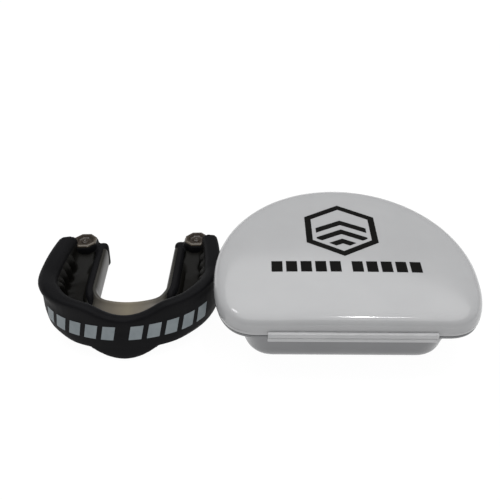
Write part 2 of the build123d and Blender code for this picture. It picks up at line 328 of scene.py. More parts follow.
# %% Lid
LID_BOTTOM = 20.8
WALL = 1.5
SHOULDER = ((0.0, 4.9), (0.08, 3.7), (0.3, 2.7), (0.75, 1.72), (1.45, 0.98), (2.4, 0.5),
            (3.6, 0.23), (5.2, 0.09), (7.5, 0.02), (10.0, 0.0))    # inset, drop below the dome
SKIRT_OUTSIDE = ((0.25, 0.0), (0.06, 0.08), (0.0, 0.25))    # inset, height over the lower edge
SKIRT_INSIDE = ((WALL - 0.25, 0.0), (WALL, 0.2))
TAB_HALF = 9.0
TAB_FROM_BACK = 1.2
TAB_BOTTOM = 21.0
TAB_TOP = 22.2
TAB_REACH = 2.3
TAB_TAPER = (0.9, 1, 0.85)


def shoulder_rings(inset, drop):
    """Rings of the lid's rounded shoulder, from the skirt in towards the top."""
    rings = []
    for more, lower in SHOULDER:
        points = outline(inset + more)
        rings.append([Vector((x, y, crown(x, y) - drop - lower)) * MM for x, y in points])
    return rings


def top_rings(inset, drop):
    points = outline(inset + SHOULDER[-1][0])
    return [shrunk(points, share, lambda x, y: crown(x, y) - drop) for share in CENTRE_SHARES]


def close_ends(piece):
    """Fill the two small open rings at the middle of a shell."""
    select_only(piece)
    bpy.ops.object.mode_set(mode="EDIT")
    bpy.ops.mesh.select_all(action="DESELECT")
    bpy.ops.mesh.select_mode(type="EDGE")
    bpy.ops.mesh.select_non_manifold()
    bpy.ops.mesh.edge_face_add()
    bpy.ops.mesh.select_mode(type="FACE")
    bpy.ops.object.mode_set(mode="OBJECT")


def make_lid():
    outer = [ring_at(inset, LID_BOTTOM + rise) for inset, rise in SKIRT_OUTSIDE]
    outer += [ring_at(0, TAB_TOP)] + shoulder_rings(0, 0) + top_rings(0, 0)
    inner = [ring_at(inset, LID_BOTTOM + rise) for inset, rise in SKIRT_INSIDE]
    inner += [ring_at(WALL, TAB_TOP)] + shoulder_rings(WALL, WALL) + top_rings(WALL, WALL)
    lid = loft("lid", inner[::-1] + outer)
    close_ends(lid)
    bpy.ops.object.mode_set(mode="EDIT")
    select_where(lid, lambda f: abs(f.calc_center_median().x) < TAB_HALF * MM
                 and f.calc_center_median().y > (LID_DEPTH / 2 - TAB_FROM_BACK) * MM
                 and TAB_BOTTOM * MM < f.calc_center_median().z < TAB_TOP * MM)
    bpy.ops.mesh.extrude_region_move(TRANSFORM_OT_translate={"value": (0, TAB_REACH * MM, 0)})
    bpy.ops.transform.resize(value=TAB_TAPER)
    bpy.ops.object.mode_set(mode="OBJECT")
    close_mesh(lid)
    return lid


lid = make_lid()
smooth(lid)
report(lid)

# %% [markdown]
# ## Base
# The base is a tray whose walls taper down to a rounded foot, so that it leaves its mould. A
# flange sticks out under the lid's skirt, and a collar stands on it to keep the lid in place.
# Solidify would give one thickness everywhere, so both sides of the wall are drawn: one loft
# runs from the middle of the floor inside, over the collar and flange, and down to the foot.

# %% Base
BODY_INSET = 6.7
FRONT_EXTRA = 0.1
DRAFT = 1.3                  # how far the walls come in towards the foot
SIDE_TAPER = 1.5             # and how much more at the sides and back
FOOT_INSET = BODY_INSET + DRAFT
FOOT_STRAIGHT_HALF = 24.0
FLANGE_TOP = 20.6
FLANGE_BOTTOM = 19.7
COLLAR_TOP = 22.8
FOOT_INSIDE = ((5.2, 1.5), (3.7, 1.52), (2.2, 1.95), (1.05, 2.8), (0.35, 3.9), (-0.1, 5.4))
FOOT_OUTSIDE = ((-0.28, 5.2), (-0.08, 3.9), (0.3, 2.8), (0.95, 1.75), (1.85, 0.85), (2.95, 0.25),
                (4.1, 0.02), (5.4, 0.0))
COLLAR = ((3.25, FLANGE_TOP), (3.05, 20.7), (3.0, 20.9), (3.0, COLLAR_TOP - 0.25),
          (2.75, COLLAR_TOP), (2.05, COLLAR_TOP), (1.8, COLLAR_TOP - 0.25), (1.8, 20.85),
          (1.72, 20.66), (1.55, FLANGE_TOP))
MOUTH_INSIDE = ((0.0, 20.1), (-0.12, 20.48), (-0.5, FLANGE_TOP))
UNDER_FLANGE = ((-0.7, FLANGE_BOTTOM), (-0.2, FLANGE_BOTTOM - 0.15), (0.0, FLANGE_BOTTOM - 0.7))
FLANGE = ((0.5, FLANGE_TOP, 0.2), (0.33, FLANGE_TOP - 0.1, 0.03), (0.3, FLANGE_TOP - 0.3, 0),
          (0.3, FLANGE_BOTTOM + 0.3, 0), (0.33, FLANGE_BOTTOM + 0.1, 0.03), (0.5, FLANGE_BOTTOM, 0.2))


def tray_ring(inset, z):
    return ring_at(inset, z, inset + FRONT_EXTRA)


def foot_ring(inset, z):
    """Like tray_ring, drawn in further at the sides and back, with rounder front corners."""
    return ring_at(inset + SIDE_TAPER, z, inset + FRONT_EXTRA, FOOT_STRAIGHT_HALF)


def flat_rings(inset, z):
    points = outline(inset + SIDE_TAPER, inset + FRONT_EXTRA, FOOT_STRAIGHT_HALF)
    return [shrunk(points, share, lambda x, y: z) for share in CENTRE_SHARES]


def make_base():
    inside = [foot_ring(FOOT_INSET + WALL + inset, z) for inset, z in FOOT_INSIDE]
    inside += [tray_ring(BODY_INSET + WALL + inset, z) for inset, z in MOUTH_INSIDE]
    rim = [ring_at(inset, z) for inset, z in COLLAR]
    rim += [ring_at(inset, z, front_inset) for inset, z, front_inset in FLANGE]
    outside = [tray_ring(BODY_INSET + inset, z) for inset, z in UNDER_FLANGE]
    outside += [foot_ring(FOOT_INSET + inset, z) for inset, z in FOOT_OUTSIDE]
    floor_top = flat_rings(FOOT_INSET + WALL + FOOT_INSIDE[0][0], WALL)[::-1]
    underside = flat_rings(FOOT_INSET + FOOT_OUTSIDE[-1][0], 0.0)
    base = loft("base", floor_top + inside + rim + outside + underside)
    close_ends(base)
    close_mesh(base)
    return base


base = make_base()
smooth(base)
report(base)

# %% [markdown]
# ## Hinge strip
# Lid and base are one moulding, joined by a thin web that folds. Two bands stand proud of
# the straight side with a shallow groove between them, and the web is at its bottom. Each
# band is a cube shaped by a Bevel, and stays with its own half of the case. The web is cut
# into rows and pinched along its middle, where the real fold bends when the lid opens.

# %% Hinge strip
HINGE_LENGTH = 53.5
LEAF_FACE_Y = FRONT_Y - 1.15
LEAF_EDGE = 0.22
LEAF_ROOT = 0.02             # how far the bands reach into the case
BEVEL_STEPS = 3
LOWER_BAND = (19.1, 20.5)    # bottom and top
UPPER_BAND = (20.9, 22.5)
WEB = (20.42, 20.98)
WEB_DEPTH = (0.12, 0.5)      # front and back of the web, behind the face of the bands
WEB_END_GAP = 0.1
WEB_CUTS = 5
WEB_WAIST = 0.12             # half height of the thin line that the fold bends along
WEB_PINCH = 0.55             # thickness left there
FOLD_HEIGHT = 20.7


def make_box(name, low, high):
    bpy.ops.object.select_all(action="DESELECT")
    middle = (Vector(low) + Vector(high)) / 2 * MM
    bpy.ops.mesh.primitive_cube_add(size=1, location=middle)
    piece = bpy.context.object
    piece.name = name
    piece.scale = (Vector(high) - Vector(low)) * MM
    bpy.ops.object.transform_apply(location=True, rotation=False, scale=True)
    return piece


def bevel_edges(piece, width):
    modifier = piece.modifiers.new("edges", "BEVEL")
    modifier.width = width * MM
    modifier.segments = BEVEL_STEPS
    modifier.limit_method = "ANGLE"
    apply_modifiers(piece)


def hinge_leaf(name, bottom, top):
    """A band of the strip, its edges rounded."""
    leaf = make_box(name, (-HINGE_LENGTH / 2, LEAF_FACE_Y, bottom),
                    (HINGE_LENGTH / 2, FRONT_Y + LEAF_ROOT, top))
    bevel_edges(leaf, LEAF_EDGE)
    smooth(leaf)
    report(leaf)
    return leaf


lower_leaf = hinge_leaf("hinge_lower_band", *LOWER_BAND)
upper_leaf = hinge_leaf("hinge_upper_band", *UPPER_BAND)


def make_web():
    web = make_box("hinge_fold", (-HINGE_LENGTH / 2 + WEB_END_GAP, LEAF_FACE_Y + WEB_DEPTH[0], WEB[0]),
                   (HINGE_LENGTH / 2 - WEB_END_GAP, LEAF_FACE_Y + WEB_DEPTH[1], WEB[1]))
    bpy.ops.object.mode_set(mode="EDIT")
    bpy.ops.mesh.select_all(action="SELECT")
    bpy.ops.mesh.subdivide(number_cuts=WEB_CUTS)
    mesh = bmesh.from_edit_mesh(web.data)
    for vertex in mesh.verts:
        vertex.select_set(abs(vertex.co.z - FOLD_HEIGHT * MM) < WEB_WAIST * MM)
    mesh.select_flush_mode()
    bpy.ops.transform.resize(value=(1, WEB_PINCH, 1))
    bpy.ops.object.mode_set(mode="OBJECT")
    smooth(web)
    return web


web = make_web()
report(web)

# %% [markdown]
# ## Mouthguard sections
# The mouthguard is a channel bent round the teeth. A Curve modifier would bend a straight
# channel, but its width changes along the way. So the outer side follows three tangent arcs
# on each side, the tongue side a tighter curve, and at each place along the arch a section is
# drawn between the two: d runs in from the outer side, h up from the bite plane, both in mm.

# %% Arch of the mouthguard
FRONT_RADIUS = 40.0
CORNER_RADIUS = 24.0
SIDE_RADIUS = 95.0
FRONT_SPREAD = 26.0
SIDE_END = 102.6
TONGUE_APEX = 16.0
TONGUE_FRONT_RADIUS = 22.0
TONGUE_CORNER_RADIUS = 7.0
TONGUE_SPREAD = 20.0
REAR_FLARE = 0.6
TONGUE_REAR = 50.0
TONGUE_AT_SPREAD = 10.0      # length round the tongue side, level with the end of the front arc
TONGUE_AT_WIDEST = 18.5      # and level with the widest place


def polar(centre, radius, angle):
    return Vector((centre[0] + radius * sin(radians(angle)), centre[1] - radius * cos(radians(angle))))


FRONT_CENTRE = Vector((0, FRONT_RADIUS))
CORNER_CENTRE = polar(FRONT_CENTRE, FRONT_RADIUS - CORNER_RADIUS, FRONT_SPREAD)
SIDE_CENTRE = polar(CORNER_CENTRE, CORNER_RADIUS - SIDE_RADIUS, 90)
TONGUE_CENTRE = Vector((0, TONGUE_APEX + TONGUE_FRONT_RADIUS))
TONGUE_CORNER = polar(TONGUE_CENTRE, TONGUE_FRONT_RADIUS - TONGUE_CORNER_RADIUS, TONGUE_SPREAD)


def outer_point(angle):
    if angle <= FRONT_SPREAD:
        return polar(FRONT_CENTRE, FRONT_RADIUS, angle)
    if angle <= 90:
        return polar(CORNER_CENTRE, CORNER_RADIUS, angle)
    return polar(SIDE_CENTRE, SIDE_RADIUS, angle)


FRONT_LENGTH = FRONT_RADIUS * radians(FRONT_SPREAD)
CORNER_LENGTH = CORNER_RADIUS * radians(90 - FRONT_SPREAD)


def outer_angle(length):
    """The outer arch's angle at this length from the front middle."""
    if length <= FRONT_LENGTH:
        return degrees(length / FRONT_RADIUS)
    if length <= FRONT_LENGTH + CORNER_LENGTH:
        return FRONT_SPREAD + degrees((length - FRONT_LENGTH) / CORNER_RADIUS)
    return 90 + degrees((length - FRONT_LENGTH - CORNER_LENGTH) / SIDE_RADIUS)


def tongue_point(length):
    """The point at this length round the right half of the tongue side."""
    front_length = TONGUE_FRONT_RADIUS * radians(TONGUE_SPREAD)
    corner_length = TONGUE_CORNER_RADIUS * radians(90 - TONGUE_SPREAD)
    if length <= front_length:
        return polar(TONGUE_CENTRE, TONGUE_FRONT_RADIUS, degrees(length / TONGUE_FRONT_RADIUS))
    if length <= front_length + corner_length:
        turn = TONGUE_SPREAD + degrees((length - front_length) / TONGUE_CORNER_RADIUS)
        return polar(TONGUE_CORNER, TONGUE_CORNER_RADIUS, turn)
    start = polar(TONGUE_CORNER, TONGUE_CORNER_RADIUS, 90)
    run = length - front_length - corner_length
    return Vector((start.x + REAR_FLARE * run / (TONGUE_REAR - start.y), start.y + run))


TONGUE_LENGTH = (TONGUE_FRONT_RADIUS * radians(TONGUE_SPREAD)
                 + TONGUE_CORNER_RADIUS * radians(90 - TONGUE_SPREAD)
                 + TONGUE_REAR - polar(TONGUE_CORNER, TONGUE_CORNER_RADIUS, 90).y)


def tongue_length_at(angle):
    """How far round the tongue side the section at this outer angle ends."""
    knots = ((0, 0), (FRONT_SPREAD, TONGUE_AT_SPREAD), (90, TONGUE_AT_WIDEST), (SIDE_END, TONGUE_LENGTH))
    for (a0, l0), (a1, l1) in zip(knots, knots[1:]):
        if angle <= a1:
            return l0 + (l1 - l0) * (angle - a0) / (a1 - a0)
    return TONGUE_LENGTH


def spread(start, end, steps):
    return [start + (end - start) * i / steps for i in range(1, steps + 1)]


ARC_STEPS = 10
HALF_ANGLES = [0] + spread(0, FRONT_SPREAD, ARC_STEPS) + spread(FRONT_SPREAD, 90, ARC_STEPS)
HALF_ANGLES += spread(90, SIDE_END, ARC_STEPS)
ANGLES = [-a for a in HALF_ANGLES[:0:-1]] + HALF_ANGLES
print("sections round the arch:", len(ANGLES))

# %% [markdown]
# ## How the section changes along the arch
# The rim is high over the eye teeth, sinks towards the molars and dips at the front, where the
# lip is tied to the gum. The tongue side has a rubber wall only behind the front teeth. Single
# vertices could be moved by hand, but formulas with soft blends leave no kinks.

# %% Heights along the arch
RIM_HEIGHT = 17.5            # at the eye teeth
REAR_LOWER = 1.9             # the rim sinks this much towards the molars
LOWER_FROM = 50              # starting at this angle
RIM_DIP = 13.3
DIP_RADIUS = 18.5
DIP_BLEND = 0.8
FAR_FROM_BLEND = 30          # past this exp() is so large that log1p undoes it
DIP_OFFSET = 1.2             # the notch sits a little right of the middle
LINGUAL_TOP = 9.5
SHELL_FLOOR = 4.0
LIP_TOP = 8.9
LIP_END = 26.0               # the tongue side is gel alone within this angle of the front
LIP_BLEND = 28.0


def ease(x, low, high):
    """0 below low, 1 above high, and a smooth step between them."""
    t = min(1, max(0, (x - low) / (high - low)))
    return t * t * (3 - 2 * t)


def softly_below(limit, value):
    """The smaller of the two, with the corner between them rounded."""
    gap = (limit - value) / DIP_BLEND
    return limit - DIP_BLEND * (log1p(exp(gap)) if gap < FAR_FROM_BLEND else gap)


def rim_height(angle):
    u = outer_point(abs(angle)).x * (-1 if angle < 0 else 1) - DIP_OFFSET
    rim = RIM_HEIGHT - REAR_LOWER * ease(abs(angle), LOWER_FROM, SIDE_END)
    return softly_below(rim, RIM_DIP + u * u / (2 * DIP_RADIUS))


def behind_lip(angle):
    """0 at the front, where the tongue side is gel alone, and 1 along the arms."""
    return ease(abs(angle), LIP_END, LIP_END + LIP_BLEND)


def section_ring(angle, profile):
    """The profile, a list of (d, h), stood up between the outer and the tongue side."""
    side = -1 if angle < 0 else 1
    outer = outer_point(abs(angle))
    inner = tongue_point(tongue_length_at(abs(angle)))
    across = (inner - outer).normalized()
    ring = []
    for d, h in profile:
        place = outer + across * d
        ring.append(Vector((side * place.x, place.y, h)) * MM)
    return ring


def width_at(angle):
    return (tongue_point(tongue_length_at(abs(angle))) - outer_point(abs(angle))).length


# %% [markdown]
# ## Rubber shell
# The rubber shell has a tall outer wall with a thick rolled rim that dips at the front, a flat
# floor, and a lower wall on the tongue side. Its section could be extruded along a path, but
# the rim thickens and leans out along the arms, so each place gets its own section. The loft
# makes the channel, and the other forms of the moulding come after it.

# %% Section of the shell
FOOT_EASE = (18, 45)         # angles over which the lower edge grows rounder
SIDE_EASE = (25, 60)         # and over which the rim grows thicker towards the arms
REAR_FROM = 85               # from here to the end the rim leans out again
LEFT_LEAN = 0.8
RIGHT_LEAN = -0.35


def shell_profile(angle):
    top, width = rim_height(angle), width_at(angle)
    tongue_top = SHELL_FLOOR + (LINGUAL_TOP - SHELL_FLOOR) * behind_lip(angle)
    rise = tongue_top - SHELL_FLOOR
    side, rear = ease(abs(angle), *SIDE_EASE), ease(abs(angle), REAR_FROM, SIDE_END)
    lean = LEFT_LEAN * side if angle < 0 else RIGHT_LEAN * side * (1 - rear)
    flare, thick = 0.1 + lean + 0.5 * rear, 4.4 + 0.8 * side
    roll = [(0.05, top - 5.2), (-0.25 * flare, top - 3.8), (-0.8 * flare, top - 2.5),
            (-flare, top - 1.6), (-0.6 * flare, top - 0.7), (0.9 - 0.4 * flare, top - 0.1),
            (0.33 * thick, top),
            (0.6 * thick, top - 0.15), (0.83 * thick, top - 0.65), (thick, top - 1.6),
            (thick + 0.25 * side, top - 3.0), (thick + 0.5 * side, top - 5.0)]
    foot = 1.0 + 1.5 * ease(abs(angle), *FOOT_EASE)
    outside = [(1.2 * foot, 0.0), (0.5 * foot, 0.18 * foot), (0.18 * foot, 0.8 * foot),
               (0.06, 2.2 * foot), (0.02, 5.6), (0.02, 7.0)]
    trough = [(thick + 0.6 * side, 7.4), (thick + 0.5 * side, 5.2), (thick + 0.9, 4.1),
              (thick + 2.2, SHELL_FLOOR - 0.1), (width * 0.58, SHELL_FLOOR - 0.2),
              (width - 6.0, SHELL_FLOOR - 0.1)]
    tongue_wall = [(width - 5.0, SHELL_FLOOR + 0.14 * rise), (width - 4.6, SHELL_FLOOR + 0.5 * rise),
                   (width - 4.2, SHELL_FLOOR + 0.84 * rise), (width - 3.4, tongue_top),
                   (width - 2.1, tongue_top + 0.02 * rise), (width - 1.1, SHELL_FLOOR + 0.86 * rise),
                   (width - 0.8, SHELL_FLOOR + 0.4 * rise), (width - 0.5, 2.6), (width - 0.8, 0.8)]
    underside = [(width - 1.9, 0.1), (width - 4.0, 0.0), (width * 0.5, 0.0), (4.5, 0.0)]
    return outside + roll + trough + tongue_wall + underside


def cap_ends(piece):
    """Close the first and last section of a loft."""
    close_ends(piece)
    close_mesh(piece)


def make_channel():
    channel = loft("channel", [section_ring(a, shell_profile(a)) for a in ANGLES])
    cap_ends(channel)
    return channel


channel = make_channel()
report(channel)

# %% [markdown]
# ## Bosses and rear posts
# Behind the last molar a thick eight-sided boss holds the gel key, and the wall on the tongue
# side ends in a rounded post. They could be cylinders with a Bevel. Lofting rings of one
# family gives the octagon, its soft corners and the pocket for the key in one go.

# %% Bosses and posts
BOSS_RADIUS = 4.75
BOSS_U = 21.2
BOSS_V = 49.2
BOSS_TOP = 11.8
BOSS_TURNS = 48              # points round a boss or a key
BOSS_RINGS = (
    (BOSS_RADIUS, 0, 0.6), (BOSS_RADIUS, 6, 0.4), (BOSS_RADIUS, BOSS_TOP - 2.0, 0.1),
    (BOSS_RADIUS - 0.1, BOSS_TOP - 0.9, 0.1), (BOSS_RADIUS - 0.35, BOSS_TOP - 0.2, 0.1),
    (BOSS_RADIUS - 0.9, BOSS_TOP, 0.1), (BOSS_RADIUS - 1.4, BOSS_TOP - 0.4, 0.1),
    (BOSS_RADIUS - 1.6, BOSS_TOP - 2.0, 0.1), (1.0, BOSS_TOP - 2.2, 0.1))
POST_RADIUS = 2.2
POST_OFFSET = Vector((POST_RADIUS - 0.1, -0.4))
POST_TURNS = 24
POST_RINGS = ((POST_RADIUS, 0.3), (POST_RADIUS, 5), (POST_RADIUS, LINGUAL_TOP - 1.2),
              (POST_RADIUS - 0.35, LINGUAL_TOP - 0.4), (POST_RADIUS - 1.0, LINGUAL_TOP - 0.05))


def octagon_radius(apothem, roundness, turn):
    """An octagon with flats facing the axes, or a circle where roundness is 1."""
    across = (turn + pi / 8) % (pi / 4) - pi / 8
    return apothem / cos(across) * (1 - roundness) + apothem * roundness


def post_rings(side, rings):
    """Rings round a boss's axis, each given as (apothem, height, roundness)."""
    turns = [2 * pi * i / BOSS_TURNS for i in range(BOSS_TURNS)]
    return [[Vector((side * BOSS_U + octagon_radius(r, roundness, t) * cos(t),
                     BOSS_V + octagon_radius(r, roundness, t) * sin(t), h)) * MM for t in turns]
            for r, h, roundness in rings]


def make_boss(side):
    """An eight-sided post with a rounded top edge and a pocket."""
    boss = loft("boss", post_rings(side, BOSS_RINGS))
    cap_ends(boss)
    return boss


def make_post(side):
    """The rounded rear end of the tongue-side wall."""
    middle = tongue_point(TONGUE_LENGTH) + POST_OFFSET
    turns = [2 * pi * i / POST_TURNS for i in range(POST_TURNS)]
    rings = [[Vector((side * middle.x + r * cos(t), middle.y + r * sin(t), h)) * MM for t in turns]
             for r, h in POST_RINGS]
    post = loft("post", rings)
    cap_ends(post)
    return post


posts = [make_post(side) for side in (-1, 1)] + [make_boss(side) for side in (-1, 1)]
for piece in posts:
    report(piece)

# %% [markdown]
# ## Hump
# A lens of rubber hangs below the front of the band. It could be a squashed sphere, but it has
# to follow the arch, so it is lofted from sections between the same two curves.

# %% Hump
BUMPER_SPREAD = 16.0
BUMPER_STEPS = 12            # sections on each side of the middle
BUMPER_DROP = 4.5
BUMPER_LEAST = 0.02          # share of the drop that is left at its two ends
BUMPER_BACK = 7.6


def make_bumper():
    """The hump under the front: a lens of rubber hanging below the band."""
    rings = []
    for step in range(-BUMPER_STEPS, BUMPER_STEPS + 1):
        angle = BUMPER_SPREAD * step / BUMPER_STEPS
        drop = BUMPER_DROP * max(BUMPER_LEAST, 1 - (step / BUMPER_STEPS) ** 2)
        profile = [(0.15, 3.0), (0.1, 0.4), (0.12, -0.5 * drop), (0.35, -0.88 * drop),
                   (1.1, -0.99 * drop), (BUMPER_BACK - 3.0, -0.99 * drop),
                   (BUMPER_BACK - 1.2, -0.85 * drop), (BUMPER_BACK, -0.3 * drop),
                   (BUMPER_BACK + 0.6, 0.5), (BUMPER_BACK + 0.6, 3.0)]
        rings.append(section_ring(angle, profile))
    bumper = loft("bumper", rings)
    cap_ends(bumper)
    return bumper


bumper = make_bumper()
report(bumper)

# %% [markdown]
# ## One moulding of rubber
# The real shell is moulded in one shot, so its forms flow into each other. A Boolean would
# leave hard seams between them. A voxel Remesh fuses them into one skin and a little Smooth
# softens the seams. Then the shell is tilted onto its hump and its two rear ends, where it
# rests on the table, and what would sink in is cut off flat.

# %% Rubber shell
SHELL_VOXEL = 0.45
SHELL_SMOOTHING = 3
SMOOTH_FACTOR = 0.5
SOFT_ANGLE = 60              # degrees; rubber and gel have no crisp edges
GUARD_TILT = radians(-5.0)
GUARD_YAW = radians(-0.6)
GUARD_REAR = Vector((-73.8, 25.2, 0)) * MM
GUARD_SKEW = 0.05            # soft rubber: its right side has crept back a little
BOSS_TO_REAR = 4.35
TABLE_TOUCH = 0.05           # the cut is this far above the table


def join(pieces, name):
    bpy.ops.object.select_all(action="DESELECT")
    for piece in pieces:
        piece.select_set(True)
    bpy.context.view_layer.objects.active = pieces[0]
    bpy.ops.object.join()
    pieces[0].name = name
    return pieces[0]


def melt(piece, voxel, smoothing):
    """Fuse overlapping closed forms into one skin and soften its edges."""
    remesh = piece.modifiers.new("melt", "REMESH")
    remesh.mode = "VOXEL"
    remesh.voxel_size = voxel * MM
    soften = piece.modifiers.new("soften", "SMOOTH")
    soften.factor = SMOOTH_FACTOR
    soften.iterations = smoothing
    apply_modifiers(piece)


def lay_on_table(piece):
    """Tilt a mouthguard piece onto its front hump and rear ends, beside the case."""
    rear = Vector((0, BOSS_V + BOSS_TO_REAR, 0)) * MM
    skew = Matrix.Identity(4)
    skew[1][0] = GUARD_SKEW
    place = (Matrix.Translation(GUARD_REAR) @ Matrix.Rotation(GUARD_YAW, 4, "Z")
             @ Matrix.Rotation(GUARD_TILT, 4, "X") @ skew @ Matrix.Translation(-rear))
    piece.data.transform(place)
    piece.data.update()


def trim_at_table(piece):
    select_only(piece)
    bpy.ops.object.mode_set(mode="EDIT")
    bpy.ops.mesh.select_all(action="SELECT")
    bpy.ops.mesh.bisect(plane_co=(0, 0, TABLE_TOUCH * MM), plane_no=(0, 0, 1), use_fill=True,
                        clear_inner=True, threshold=MERGE_DISTANCE)
    bpy.ops.object.mode_set(mode="OBJECT")


def make_shell():
    shell = join([channel, bumper] + posts, "mouthguard_shell")
    melt(shell, SHELL_VOXEL, SHELL_SMOOTHING)
    lay_on_table(shell)
    trim_at_table(shell)
    smooth(shell, SOFT_ANGLE)
    return shell


shell = make_shell()
report(shell)

# %% [markdown]
# ## Gel liner
# Smoky clear gel lines the channel and takes the print of the teeth. It makes scalloped fins
# on the inside of the outer wall, a low lip behind the front teeth, and a skin over the tongue
# side of each arm. An offset copy of the shell would have no fins, so the gel has two lofts of
# its own: the lining and the lip. They are joined but keep a material each, because the gel
# looks black over rubber and clear at the lip, where light comes through.

# %% Gel liner
GEL_FLOOR = 5.15
FIN_DEPTH = 1.7
REAR_LIFT = 3.6              # the floor climbs towards each boss
LIFT_FROM = 93               # starting at this angle
FIN_START = 36.0             # lengths round the outer arch
FIN_PITCH = 4.4
FIN_COUNT = 5
FIN_FULLNESS = 0.7           # under 1 makes the fins fuller than half waves
LINER_LENGTH = 63.4
LINER_STEPS = 110
HALF_LENGTHS = spread(0, LINER_LENGTH, LINER_STEPS)
LINER_PLACES = [-s for s in HALF_LENGTHS[::-1]] + [0] + HALF_LENGTHS
LINER_END = outer_angle(LINER_LENGTH)
MARK_CENTRE = 34.0           # distance behind the front of the point that "along" turns about
MARK_SPAN = 120.0            # degrees from the front middle to where "along" is 1


def signed_angle(length):
    return -outer_angle(-length) if length < 0 else outer_angle(length)


def fin(length):
    """How far the scalloped fins stand in from the liner's wall at this length round the arch."""
    turn = (abs(length) - FIN_START) / FIN_PITCH
    if not 0 < turn < FIN_COUNT:
        return 0.0
    return FIN_DEPTH * abs(sin(pi * turn)) ** FIN_FULLNESS


def lining_profile(length):
    angle = signed_angle(length)
    top, width = rim_height(angle), width_at(angle)
    f = fin(length)
    rise = (LINGUAL_TOP - SHELL_FLOOR) * behind_lip(angle)
    side = ease(abs(angle), *SIDE_EASE)
    floor = GEL_FLOOR + REAR_LIFT * ease(abs(angle), LIFT_FROM, LINER_END)
    wall = 4.7 + 1.3 * side
    return [(wall - 0.8, top - 4.2), (wall - 1.2, 7.4), (wall - 1.0, 5.0), (wall + 0.4, 3.9),
            (width * 0.58, 3.7), (width - 5.8, 3.8), (width - 4.9, 4.2 + 0.2 * rise),
            (width - 4.3, 4.6 + 0.55 * rise), (width - 4.9, max(floor + 0.1, GEL_FLOOR + 0.4 * rise)),
            (width - 5.6, floor + 0.08), (width - 6.6, floor), (width * 0.58, floor - 0.1),
            (wall + 1.7 + 0.4 * f, floor), (wall + 0.7 + 0.7 * f, floor + 0.4), (wall + f, floor + 1.6),
            (wall - 0.05 + f, max(8.6, floor + 2.2)), (wall - 0.1 + f, top - 5.4),
            (wall - 0.2 + 0.7 * f, top - 3.8), (wall - 0.5, top - 3.0)]


def lip_profile(angle):
    """A gel ramp rising to a free edge at the front, which thins to a skin along each arm."""
    width, back = width_at(angle), behind_lip(angle)
    top = LIP_TOP + (LINGUAL_TOP - 0.05 - LIP_TOP) * back
    ramp, root = 1 - back, width - 2.0
    return [(root - 5.6 * ramp, 4.3), (root - 4.2 * ramp, 4.9 + 0.7 * ramp),
            (root - 2.8 * ramp, 6.0 + 0.7 * ramp), (root - 1.1 * ramp, top - 1.3), (root + 0.15, top - 0.5),
            (root + 0.6, top - 0.05), (root + 1.15, top - 0.12), (root + 1.65, top - 0.6),
            (width - 0.02, top - 1.6), (width + 0.05, 6.0), (width, 4.2), (width - 0.1, 2.4),
            (width - 0.4, 1.0), (width - 1.4, 1.4), (width - 1.7, 3.2)]


def mark_along(piece):
    """Store how far round the arch each point lies: 0 at the front middle, 1 at the rear."""
    attribute = piece.data.attributes.new("along", "FLOAT", "POINT")
    for vertex in piece.data.vertices:
        u, v = vertex.co.x / MM, vertex.co.y / MM
        turn = degrees(atan2(abs(u), MARK_CENTRE - v))
        attribute.data[vertex.index].value = min(1.0, turn / MARK_SPAN)


def make_liner():
    lining = loft("lining", [section_ring(signed_angle(s), lining_profile(s)) for s in LINER_PLACES])
    cap_ends(lining)
    angles = [signed_angle(s) for s in LINER_PLACES]
    lip = loft("lip", [section_ring(a, lip_profile(a)) for a in angles])
    cap_ends(lip)
    for piece in (lining, lip):
        mark_along(piece)
    lining_faces = len(lining.data.polygons)
    liner = join([lining, lip], "gel_lining")
    liner.data.materials.append(None)
    liner.data.materials.append(None)
    for face in liner.data.polygons:
        face.material_index = int(face.index >= lining_faces)
    lay_on_table(liner)
    smooth(liner, SOFT_ANGLE)
    return liner


liner = make_liner()
report(liner)

# %% [markdown]
# ## Gel keys
# Behind the last molar on each side an eight-sided key of hard gel sits in the boss. Its rim
# is bevelled, its face is dished, and a round button stands in the middle. A cylinder with
# insets would keep eight sides all through. These rings turn from an octagon into a circle.

# %% Gel keys
KEY_TOP = 12.0
KEY_RINGS = ((4.3, -2.6, 0), (4.3, -0.5, 0), (4.22, -0.12, 0), (3.95, 0.12, 0), (3.45, 0.2, 0),
             (2.95, 0.14, 0), (2.7, -0.2, 0), (2.45, -0.62, 0.1), (2.1, -0.75, 0.3), (1.55, -0.7, 1),
             (1.35, -0.4, 1), (1.15, -0.22, 1), (0.7, -0.2, 1), (0.5, -0.42, 1), (0.18, -0.48, 1))
KEY_GLINT_RINGS = (2, 3)            # the rings of KEY_RINGS that get a painted glint, counted from 0
KEY_ANGLE = 40               # degrees; the bevels of the rim stay crisp


def make_key(side, name):
    key = loft(name, post_rings(side, [(r, KEY_TOP + h, roundness) for r, h, roundness in KEY_RINGS]))
    # painted glint: the glint rings are marked 1 here and painted pale in key_gel
    edge = key.data.attributes.new("edge", "FLOAT", "POINT")
    for number in range(len(key.data.vertices)):
        edge.data[number].value = float(number // BOSS_TURNS in KEY_GLINT_RINGS)
    cap_ends(key)
    lay_on_table(key)
    smooth(key, KEY_ANGLE)
    return key


left_key = make_key(-1, "left_key")
right_key = make_key(1, "right_key")
report(left_key)
report(right_key)

# %% [markdown]
# ## Printed bars
# Slanted grey bars run round the front of the shell, printed on it. They could be painted by
# its material, but then they would blur with the size of the picture. Instead each is a small
# grid that a Shrinkwrap lays onto the rubber and a Solidify gives the thickness of ink.

# %% Printed bars
PRINT_LOW = 4.8
PRINT_HIGH = 10.6
PRINT_START = 4.6
PRINT_PITCH = 6.0
PRINT_WIDTH = 4.2
PRINT_SLANT = 1.2            # sideways shift of a bar's top against its bottom
BAR_COUNT = 5
BAR_CELLS = 10
BAR_LIFT = 0.3               # how far off the rubber the bars start before they are wrapped
INK = 0.05
INK_ANGLE = 50


